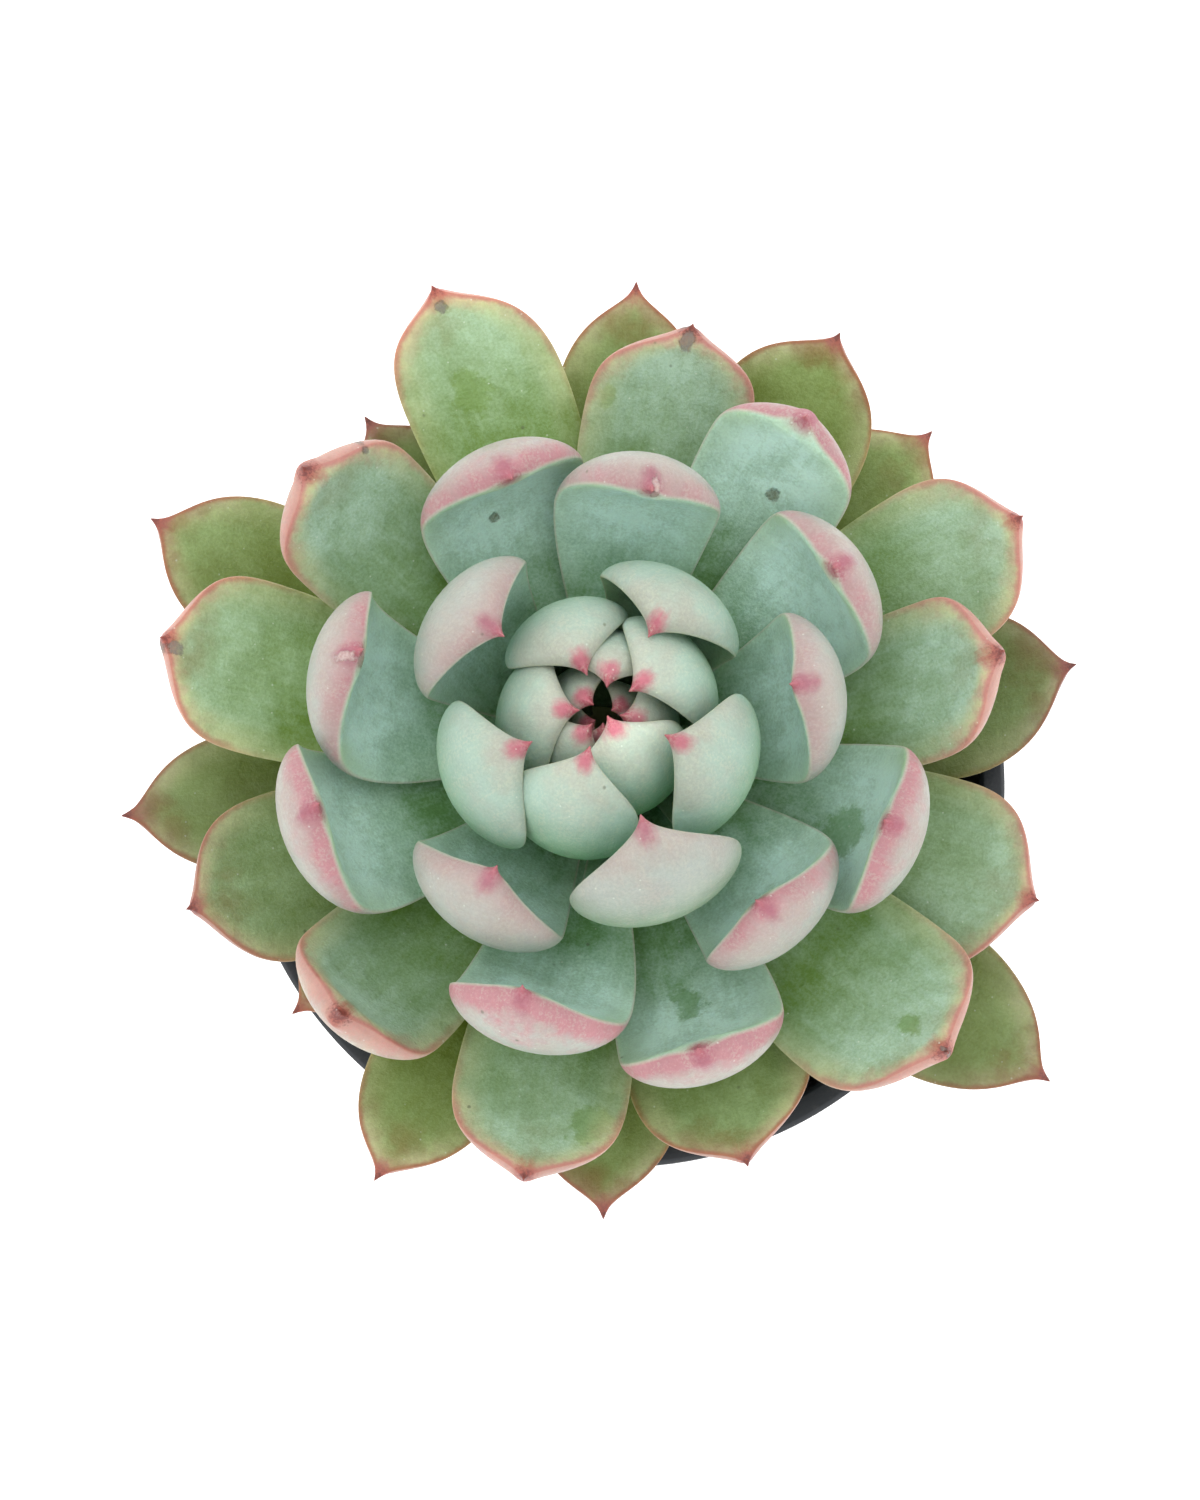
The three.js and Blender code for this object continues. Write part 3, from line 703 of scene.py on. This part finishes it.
def leaf_tree():
    """The rule of one leaf: a grid rolled into a closed blade round a curling middle line."""
    tree = bpy.data.node_groups.new("leaf", "GeometryNodeTree")
    for name in LEAF_INPUTS:
        tree.interface.new_socket(name=name, in_out="INPUT", socket_type="NodeSocketFloat")
    for name in LEAF_LOOKS:
        tree.interface.new_socket(name=name, in_out="INPUT", socket_type="NodeSocketVector")
    tree.interface.new_socket(name="Finish", in_out="INPUT", socket_type="NodeSocketMaterial")
    tree.interface.new_socket(name="Leaf", in_out="OUTPUT", socket_type="NodeSocketGeometry")
    given = {s.name: Value(s) for s in tree.nodes.new("NodeGroupInput").outputs if s.name}
    length, half, thickness = given["Length"], given["Half width"], given["Thickness"]
    widest, pointed = given["Widest"], given["Pointed"]

    # Rows run along the leaf, closer together near the tip. The first and second are both its heel.
    grid = add_node(tree, "GeometryNodeMeshGrid", Vertices_X=LEAF_ROWS + 1, Vertices_Y=LEAF_TURNS + 1)
    index = Value(add_node(tree, "GeometryNodeInputIndex").outputs[0])
    row = (index / (LEAF_TURNS + 1)).math("FLOOR")
    column = index - row * (LEAF_TURNS + 1)
    turn = column * (math.tau / LEAF_TURNS)

    def share_of(row_number):
        left = 1 - (row_number - 1).math("MAXIMUM", 0) / (LEAF_ROWS - 1)
        return 1 - left ** ROW_CROWDING

    share = share_of(row)
    before = share_of((row - 1).math("MAXIMUM", 0))

    def slope_at(share_along):
        return given["Foot slope"] + given["Bend"] * share_along.math("POWER", given["Curl"])

    # The middle line: each row adds a short step along the slope halfway to it.
    step = (share - before) * length
    halfway = slope_at((share + before) / 2)

    def summed(value):
        # The added quarter keeps the whole number of each column safe from rounding.
        node = add_node(tree, "GeometryNodeAccumulateField", {"data_type": "FLOAT"},
                        Value=value, Group_ID=column + 0.25)
        return Value(node.outputs["Leading"])

    slope = slope_at(share)
    foot = given["Foot slope"]
    heel = thickness * (FOOT_THICKNESS / 2) * foot.math("SINE")
    radius = given["Seat radius"] + GAP + heel + summed(step * halfway.math("COSINE"))
    height = given["Seat height"] + summed(step * halfway.math("SINE"))

    # The outline: a narrow foot, a broad blade, and flanks that draw in to the point.
    rise = ((share / widest).math("MINIMUM", 1) * (math.pi / 2)).math("SINE") ** SHOULDER_RISE
    to_tip = (1 - share) * length
    past_widest = ((share - widest) / (1 - widest)).math("MAXIMUM", 0)
    round_end = (1 - past_widest.math("POWER", given["Roundness"])).math("MAXIMUM", 0).math("POWER", pointed)
    drawn_in = 1 - (0 - (to_tip / given["Point length"]) ** POINT_HOLLOW).math("EXPONENT")
    blade = (rise * (1 - FOOT_WIDTH) + FOOT_WIDTH) * round_end * drawn_in * half
    point = (to_tip / POINT_RUN_OUT).math("MINIMUM", 1) ** POINT_TAPER * POINT_RADIUS
    point = point * (to_tip / given["Point length"]).ramp(0.5, 1.5, 1, 0)
    width = (blade * blade + point * point).math("SQRT")

    # The thickness: fleshy to near the end, which is blunt.
    grown = ((share / THINNING_FROM).math("MINIMUM", 1) * (math.pi / 2)).math("SINE")
    body = grown * (1 - FOOT_THICKNESS) + FOOT_THICKNESS
    swollen = given["Swell"] * share.ramp(SWELL_FROM, SWELL_TO) + 1
    past_thick = ((share - THINNING_FROM) / (1 - THINNING_FROM)).math("MAXIMUM", 0)
    depth = body * swollen * (1 - past_thick ** BLUNTNESS).math("MAXIMUM", 0).math("SQRT") * thickness
    depth = depth.math("MINIMUM", width * THICKEST_FOR_WIDTH + THICKEST_AT_POINT)

    # Round the section: across runs from edge to edge, and the upper face is flatter than the back.
    across = turn.math("COSINE")
    side = turn.math("SINE")
    bulge = (1 - across * across).math("MAXIMUM", 0) ** SECTION_FULLNESS
    upper = side.math("GREATER_THAN", 0)
    up = bulge * depth * (upper * (1 - BELLY) - (1 - upper) * BELLY)
    inward = (1 - across.math("ABSOLUTE")) * width
    from_margin = (inward * inward + up * up).math("SQRT")
    up = up - given["Point drop"] * share.ramp(POINT_FROM, 1.0)

    # The heel's first row closes it.
    off_heel = row.math("GREATER_THAN", 0.5)
    flat_across = width * across * off_heel
    up = up * off_heel
    steep = slope.math("SINE").math("MAXIMUM", FLATTEST_SINE)
    nest = radius.math("MAXIMUM", NARROWEST_NEST) * NEST_SLACK / steep
    cup = (half / WIDEST_WRAP).math("MAXIMUM", SMALLEST_CUP).math("MAXIMUM", nest)
    angle = (flat_across + given["Sweep"] * share ** 3) / cup
    lateral = (cup - up) * angle.math("SINE")
    lift = cup - (cup - up) * angle.math("COSINE")
    along = given["Skew"] * share * lateral
    out = radius - slope.math("SINE") * lift + slope.math("COSINE") * along
    z = height + slope.math("COSINE") * lift + slope.math("SINE") * along
    cosine, sine = given["Direction"].math("COSINE"), given["Direction"].math("SINE")
    place = add_node(tree, "ShaderNodeCombineXYZ", X=out * cosine - lateral * sine + PLANT.x,
                     Y=out * sine + lateral * cosine + PLANT.y, Z=z)
    shaped = add_node(tree, "GeometryNodeSetPosition", Geometry=Value(grid.outputs["Mesh"]),
                      Position=Value(place.outputs[0]))

    # What the finish reads, in mm: how far across, how far from the tip, and which face.
    blade_place = add_node(tree, "ShaderNodeCombineXYZ", X=flat_across * 1000, Y=to_tip * 1000, Z=side)
    geometry = Value(shaped.outputs[0])
    stored = [
        ("blade", "FLOAT_VECTOR", Value(blade_place.outputs[0])),
        ("margin", "FLOAT", from_margin * 1000),
    ]
    stored += [(look.lower(), "FLOAT_VECTOR", given[look]) for look in LEAF_LOOKS]
    for name, kind, value in stored:
        node = add_node(tree, "GeometryNodeStoreNamedAttribute", {"data_type": kind},
                        Geometry=geometry, Name=name)
        give(node.inputs["Value"], value)
        geometry = Value(node.outputs[0])
    welded = add_node(tree, "GeometryNodeMergeByDistance", Geometry=geometry, Distance=WELD)
    smooth = add_node(tree, "GeometryNodeSetShadeSmooth", Geometry=Value(welded.outputs[0]))
    done = add_node(tree, "GeometryNodeSetMaterial", Geometry=Value(smooth.outputs[0]),
                    Material=given["Finish"])
    result = tree.nodes.new("NodeGroupOutput")
    tree.links.new(done.outputs[0], result.inputs["Leaf"])
    return tree


def shade(red, green, blue):
    """A colour given as a display shows it, from 0 to 255, in the linear numbers that a shader takes."""
    return tuple(((value / 255 + 0.055) / 1.055) ** 2.4 for value in (red, green, blue))


# The colours of each kind of leaf: its flesh where the bloom is thin, on a green and on a yellow
# leaf, the same with its bloom, the back, the back deep in the rosette, greener with thinner bloom
# and darker as painted shade, the back near the tip, the blush, the zone inside the margin, the line
# at the margin, the same on an old leaf, the spot and the point.
COLOURS = {
    "heart_leaf": dict(
        green=(90, 124, 76), yellow=(100, 108, 58), bloom=(150, 182, 162), old_bloom=(142, 164, 124),
        back=(143, 166, 152), deep_back_painted_shade=(112, 162, 116), end=(156, 160, 147), blush=(166, 150, 143),
        edge=(160, 176, 142), line=(164, 170, 150), old_line=(160, 160, 130),
        spot=(162, 82, 98), point=(152, 60, 78)),
    "cupped_leaf": dict(
        green=(92, 136, 82), yellow=(104, 142, 62), bloom=(182, 214, 203), old_bloom=(160, 188, 160),
        back=(148, 156, 148), deep_back_painted_shade=(112, 148, 108), end=(158, 150, 142), blush=(162, 114, 119),
        edge=(152, 180, 150), line=(160, 157, 145), old_line=(164, 150, 134),
        spot=(146, 86, 99), point=(148, 78, 90)),
    "spread_leaf": dict(
        green=(94, 134, 66), yellow=(100, 118, 22), bloom=(154, 182, 170), old_bloom=(134, 156, 92),
        back=(158, 162, 142), deep_back_painted_shade=(112, 132, 72), end=(158, 144, 134), blush=(172, 136, 124),
        edge=(166, 172, 122), line=(170, 114, 110), old_line=(132, 76, 36),
        spot=(146, 74, 62), point=(100, 46, 42)),
}


# The finish of the leaves. Its noises have sizes in metres. What lies on the blade is in mm, as the
# leaf's attributes hold it.
CLOUD_SIZE = 7 * MM
PATCH_SIZE = 2.6 * MM
POWDER_SIZE = 0.4 * MM
STREAK_WIDTH = 0.9
STREAK_STRETCH = 0.12
STREAK_SHIFT = 40
MARK_RAGGEDNESS = 2.8 * MM
GRIT_SPACING = 2.2 * MM
LIME_SPACING = 1.1 * MM
GRIT_COLOUR = (70, 74, 50)
LIME_COLOUR = (204, 212, 200)
SCAR_COLOUR = (96, 92, 86)
CRESCENT_SCAR_COLOUR = (178, 160, 154)
HOLLOW_SCAR_COLOUR = (84, 84, 58)
WAX_RELIEF = 0.1 * MM

# Where the bloom on the upper face thins out, in mm from the tip, and how much there is at each end.
# The darker green that shows towards the foot is partly painted shade.
BLOOM_THINNING_AND_PAINTED_SHADE = {
    "heart_leaf": (5, 30, 0.95, 0.25),
    "cupped_leaf": (13, 34, 1.02, 0.15),
    "spread_leaf": (5, 30, 0.95, 0.25),
}
# The spot on the point: how far its middle is from the tip, in mm, and how steeply it fades with each
# mm across the blade and along it.
SPOTS = {
    "heart_leaf": (1.7, 0.6, 0.62),
    "cupped_leaf": (1.5, 0.6, 0.55),
    "spread_leaf": (0.8, 0.5, 0.4),
}


def attribute_parts(tree, name):
    """The three numbers of a vector that is stored on the leaf."""
    attribute = add_node(tree, "ShaderNodeAttribute", {"attribute_name": name})
    parts = add_node(tree, "ShaderNodeSeparateXYZ", Vector=Value(attribute.outputs["Vector"]))
    return [Value(socket) for socket in parts.outputs]


def leaf_readings(tree):
    """What is stored on a leaf: where on the blade a point is, and the looks of that leaf. Its light number
    holds painted light and shade as well as the leaf's own tone.
    """
    across, to_tip, side = attribute_parts(tree, "blade")
    yellow, blush, light = attribute_parts(tree, "cast")
    margin = Value(add_node(tree, "ShaderNodeAttribute", {"attribute_name": "margin"}).outputs["Fac"])
    return SimpleNamespace(across=across, to_tip=to_tip, side=side, margin=margin, yellow=yellow,
                           blush=blush, light=light)


def wax_readings(tree, leaf):
    """Wax lies in clouds, in patches, as a fine powder and in streaks that run along the leaf."""
    along = add_node(tree, "ShaderNodeCombineXYZ", X=leaf.across, Y=leaf.to_tip * STREAK_STRETCH,
                     Z=leaf.yellow * STREAK_SHIFT)
    return SimpleNamespace(
        clouds=grain(tree, CLOUD_SIZE, 4, 0.6).ramp(0.3, 0.7),
        patches=grain(tree, PATCH_SIZE, 5, 0.65).ramp(0.3, 0.7),
        fine=grain(tree, POWDER_SIZE, 3, 0.7).ramp(0.3, 0.7),
        streaks=grain(tree, STREAK_WIDTH, 4, 0.6, where=Value(along.outputs[0])).ramp(0.3, 0.7))


def mark_at(tree, name, leaf, stretch):
    """How much of a mark there is, from 0 to 1. Its attribute holds its place on the blade and its size."""
    mark_across, mark_to_tip, size = attribute_parts(tree, name)
    aside = leaf.across - mark_across
    beyond = (leaf.to_tip - mark_to_tip) * stretch
    distance = (aside * aside + beyond * beyond).math("SQRT") / size.math("MAXIMUM", 0.001)
    ragged = distance + (grain(tree, MARK_RAGGEDNESS, 6, 0.7) - 0.5) * 3
    return ragged.ramp(0.6, 1.1, 1, 0) * size.math("GREATER_THAN", 0.01)


def specks(tree, size, share, where):
    """Small round dots from 0 to 1, one in that share of the cells of that size."""
    node = add_node(tree, "ShaderNodeTexVoronoi", Vector=where, Scale=1 / size)
    picked = add_node(tree, "ShaderNodeSeparateColor", Color=Value(node.outputs["Color"]))
    chosen = Value(picked.outputs["Red"]).math("GREATER_THAN", 1 - share)
    return Value(node.outputs["Distance"]).ramp(0.05, 0.17, 1, 0) * chosen


def upper_colour(tree, kind, colours, leaf, wax, rubbed):
    """The upper face: flesh that shows through a grey-blue bloom, thinner towards the foot, where the darker
    green is partly painted shade.
    """
    flesh = blended(tree, leaf.yellow, colours["green"], colours["yellow"])
    bloom = blended(tree, leaf.yellow, colours["bloom"], colours["old_bloom"])
    # Less bloom towards the foot: partly thinner wax, partly painted shade.
    bloom_and_painted_shade = leaf.to_tip.ramp(*BLOOM_THINNING_AND_PAINTED_SHADE[kind]) - leaf.yellow * 0.3
    bloom_and_painted_shade = bloom_and_painted_shade + (wax.clouds - 0.5) * 0.3 + (wax.patches - 0.5) * 0.12
    bloom_and_painted_shade = bloom_and_painted_shade + (wax.streaks - 0.5) * 0.14 + (wax.fine - 0.5) * 0.18
    colour = blended(tree, (bloom_and_painted_shade * (1 - rubbed * 0.6)).clamped(), flesh, bloom)
    edge = leaf.margin.ramp(0.4, 5.5, 1, 0) * leaf.to_tip.ramp(2, 26, 0.85, 0.25) * (0.5 + wax.clouds * 0.8)
    colour = blended(tree, edge.math("MINIMUM", 1), colour, colours["edge"])
    if kind != "spread_leaf":
        return colour
    pink = (leaf.margin + (wax.patches - 0.5) * 3).ramp(0.5, 4, 0.75, 0)
    pink = pink * leaf.to_tip.ramp(3, 15, 1, 0) * leaf.blush * (1 - leaf.yellow * 0.7)
    colour = blended(tree, pink, colour, colours["blush"])
    ripe = (leaf.to_tip + (wax.clouds - 0.5) * 6).ramp(0, 9, 0.6, 0) * leaf.yellow
    return blended(tree, ripe, colour, colours["old_line"])


def back_colour(tree, colours, leaf, wax):
    """The back: white with bloom, greener and darker towards the foot as painted shade, cream near the tip,
    and blushed along its upper margin.
    """
    end = (leaf.to_tip + (wax.clouds - 0.5) * 6).ramp(1, 10, 1, 0)
    # Deeper in the rosette the back turns greener and darker: painted shade, with some thinning of the bloom.
    colour = blended(tree, leaf.to_tip.ramp(7, 20, 0, 0.9), colours["back"], colours["deep_back_painted_shade"])
    colour = blended(tree, end, colour, colours["end"])
    blushed = leaf.margin.ramp(0.4, 5, 1, 0) * leaf.to_tip.ramp(4, 16, 1, 0.2)
    blushed = blushed + leaf.to_tip.ramp(1.5, 7, 0.4, 0)
    blushed = blushed + (wax.patches - 0.5) * 0.35 + (wax.clouds - 0.5) * 0.4
    blushed = blushed * leaf.blush * (0.7 + wax.streaks * 0.4)
    colour = blended(tree, blushed.clamped(), colour, colours["blush"])
    powdered = (wax.fine * 0.6 + wax.streaks * 0.4).ramp(0.5, 0.9, 0, 0.4)
    return blended(tree, powdered, colour, colours["line"])


def with_margin_line(tree, kind, colours, leaf, wax, facing_up, colour):
    """The line at the margin: hair-thin on young leaves, broad and rough on the spread ones."""
    line = blended(tree, leaf.yellow, colours["line"], colours["old_line"])
    if kind == "spread_leaf":
        rough = leaf.margin * (1 + leaf.yellow * 0.5) + (wax.patches - 0.5) * 0.6
        amount = rough.ramp(0.2, 1.7, 1, 0) * leaf.to_tip.ramp(3, 24, 0.95, 0.08) * (0.45 + facing_up * 0.55)
    else:
        amount = leaf.margin.ramp(0.1, 0.45, 0.6, 0)
    return blended(tree, amount, colour, line)


def with_spot(tree, kind, colours, leaf, wax, facing_up, colour):
    """The spot on the point: a flame on the back of young leaves, a stain on both faces of old ones."""
    middle, fade_across, fade_along = SPOTS[kind]
    aside = leaf.across * fade_across
    along = (leaf.to_tip - middle) * fade_along
    flame = (aside * aside + along * along).math("SQRT")
    flame = flame + (wax.streaks - 0.5) * 0.25 + (wax.patches - 0.5) * 0.4
    spot = flame.ramp(0.1, 1.2, 0.92, 0)
    if kind != "spread_leaf":
        spot = spot * (1 - facing_up)
    colour = blended(tree, spot, colour, colours["spot"])
    horny = (leaf.to_tip + (wax.fine - 0.5)).ramp(0.4, 1.6, 0.85, 0)
    return blended(tree, horny, colour, colours["point"])


def weathered(tree, kind, wax, scar, facing_up, colour):
    """What has happened to the leaf: dry scars, dark specks of grit and pale flecks of lime."""
    dry = shade(*SCAR_COLOUR)
    if kind == "cupped_leaf":
        dry = blended(tree, facing_up, shade(*CRESCENT_SCAR_COLOUR), shade(*HOLLOW_SCAR_COLOUR))
    where = Value(add_node(tree, "ShaderNodeTexCoord").outputs["Object"])
    grit = specks(tree, GRIT_SPACING, 0.03, where)
    lime = specks(tree, LIME_SPACING, 0.12, where)
    colour = blended(tree, scar * (0.5 + wax.fine * 0.4), colour, dry)
    colour = blended(tree, grit * 0.6, colour, shade(*GRIT_COLOUR))
    return blended(tree, lime * 0.4, colour, shade(*LIME_COLOUR))


def leaf_finish(kind):
    """The finish of one kind of leaf: living, wax-coated flesh."""
    colours = {part: shade(*value) for part, value in COLOURS[kind].items()}
    material, tree, shader = finish(
        kind + "_finish", Roughness=0.5, Subsurface_Weight=0.35, Subsurface_Radius=(1.0, 0.8, 0.45),
        Subsurface_Scale=2 * MM)
    leaf = leaf_readings(tree)
    wax = wax_readings(tree, leaf)
    rubbed = mark_at(tree, "rubbed", leaf, 0.7)
    scar = mark_at(tree, "scar", leaf, 0.8)

    # Near its tip a cupped blade is as pale on its upper face as on its back.
    facing_up = leaf.side.ramp(-0.12, 0.12)
    if kind != "spread_leaf":
        facing_up = facing_up * leaf.to_tip.ramp(0.5, 2.5)
    upper = upper_colour(tree, kind, colours, leaf, wax, rubbed)
    colour = blended(tree, facing_up, back_colour(tree, colours, leaf, wax), upper)
    colour = with_margin_line(tree, kind, colours, leaf, wax, facing_up, colour)
    colour = with_spot(tree, kind, colours, leaf, wax, facing_up, colour)
    colour = weathered(tree, kind, wax, scar, facing_up, colour)

    # The light number paints light and shade into the colour as well as the leaf's own tone; the mottling is
    # the wax's own.
    mottling = 0.86 + wax.clouds * 0.1 + wax.patches * 0.06 + wax.fine * 0.12
    lit = add_node(tree, "ShaderNodeVectorMath", {"operation": "SCALE"}, Scale=leaf.light * mottling)
    give(lit.inputs[0], colour)
    tree.links.new(lit.outputs[0], shader.inputs["Base Color"])
    give(shader.inputs["Roughness"], wax.patches.ramp(0.3, 0.7, 0.42, 0.6) - rubbed * 0.12)
    relief = wax.fine * 0.25 + wax.streaks * 0.25 + wax.patches * 0.3 + wax.clouds + scar * 2
    bumped(tree, shader, relief, WAX_RELIEF)
    return material


leaf_rule = leaf_tree()
finishes = {kind: leaf_finish(kind) for kind in COLOURS}
for place, leaf in enumerate(LEAVES):
    kind = "heart_leaf" if place < HEART_LEAVES else "cupped_leaf"
    if place >= HEART_LEAVES + CUPPED_LEAVES:
        kind = "spread_leaf"
    node_name = f"{kind}_{place + 1:02d}"
    length = leaf.get("length", value_at(LENGTH, place)) * MM
    bend = math.radians(leaf.get("bend", value_at(BEND, place)))
    curl = value_at(CURL, place)
    seat_radius, seat_height = seat_of(place)
    drop = value_at(POINT_DROP, place) * MM
    foot = foot_slope(leaf["reach"] * MM - seat_radius - GAP, length, bend, curl, drop)
    mesh = with_nodes(
        "leaf_rule", bpy.data.meshes.new(node_name), leaf_rule,
        Direction=math.radians(leaf["azimuth"]), Seat_radius=seat_radius, Seat_height=seat_height,
        Foot_slope=foot, Bend=bend, Curl=curl, Length=length,
        Half_width=leaf.get("width", value_at(WIDTH, place)) / 2 * MM,
        Thickness=value_at(THICKNESS, place) * MM, Widest=value_at(WIDEST, place),
        Pointed=value_at(POINTED, place), Roundness=value_at(ROUNDNESS, place),
        Swell=float(value_at(TIP_SWELL, place)), Sweep=leaf.get("sweep", 0) * MM,
        Skew=float(leaf.get("skew", 0)), Point_length=value_at(POINT_LENGTH, place) * MM, Point_drop=drop,
        Cast=Vector((
            leaf.get("yellow", value_at(YELLOW, place)), leaf.get("blush", value_at(BLUSH, place)),
            leaf.get("light", value_at(TONE_AND_PAINTED_LIGHT, place)))),
        Rubbed=Vector(leaf.get("rubbed", NO_MARK)), Scar=Vector(leaf.get("scar", NO_MARK)),
        Finish=finishes[kind])
    blade = new_object("waxy_" + node_name, mesh)
    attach(blade, "root")
    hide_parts(node_name)

# The stage: a plain, nearly white floor, soft daylight from all round, and one large soft lamp
# above and to the left. None of it is part of the plant.
FLOOR_SIZE = 6.0
FLOOR_GREY = 0.9
FLOOR_GLOW = 0.5
LAMP_PLACE = Vector((-0.25, 0.35, 1.1))
LAMP_AIM = Vector((0, 0, 0.1))
LAMP_SIZE = 1.0
LAMP_POWER = 2.5
DAYLIGHT = 1.6
FLOOR_CLEARANCE = 0.05 * MM


def make_stage():
    material, tree, shader = finish("white_floor", Roughness=0.9)
    shader.inputs["Base Color"].default_value = (FLOOR_GREY, FLOOR_GREY, FLOOR_GREY, 1)
    shader.inputs["Emission Color"].default_value = (1, 1, 1, 1)
    shader.inputs["Emission Strength"].default_value = FLOOR_GLOW
    shape = bmesh.new()
    bmesh.ops.create_grid(shape, x_segments=1, y_segments=1, size=FLOOR_SIZE / 2)
    mesh = bpy.data.meshes.new("floor")
    shape.to_mesh(mesh)
    shape.free()
    mesh.transform(Matrix.Translation((0, 0, -FLOOR_CLEARANCE)))
    mesh.materials.append(material)
    floor = new_object("floor", mesh)

    lamp_data = bpy.data.lights.new("soft_lamp", "AREA")
    lamp_data.size = LAMP_SIZE
    lamp_data.energy = LAMP_POWER
    lamp = new_object("soft_lamp", lamp_data)
    lamp.location = LAMP_PLACE
    lamp.rotation_euler = (LAMP_AIM - LAMP_PLACE).to_track_quat("-Z", "Y").to_euler()

    world = bpy.data.worlds.new("daylight")
    world.use_nodes = True
    background = world.node_tree.nodes["Background"]
    background.inputs["Color"].default_value = (1, 1, 1, 1)
    background.inputs["Strength"].default_value = DAYLIGHT
    bpy.context.scene.world = world
    bpy.context.scene.view_settings.view_transform = "Standard"


make_stage()
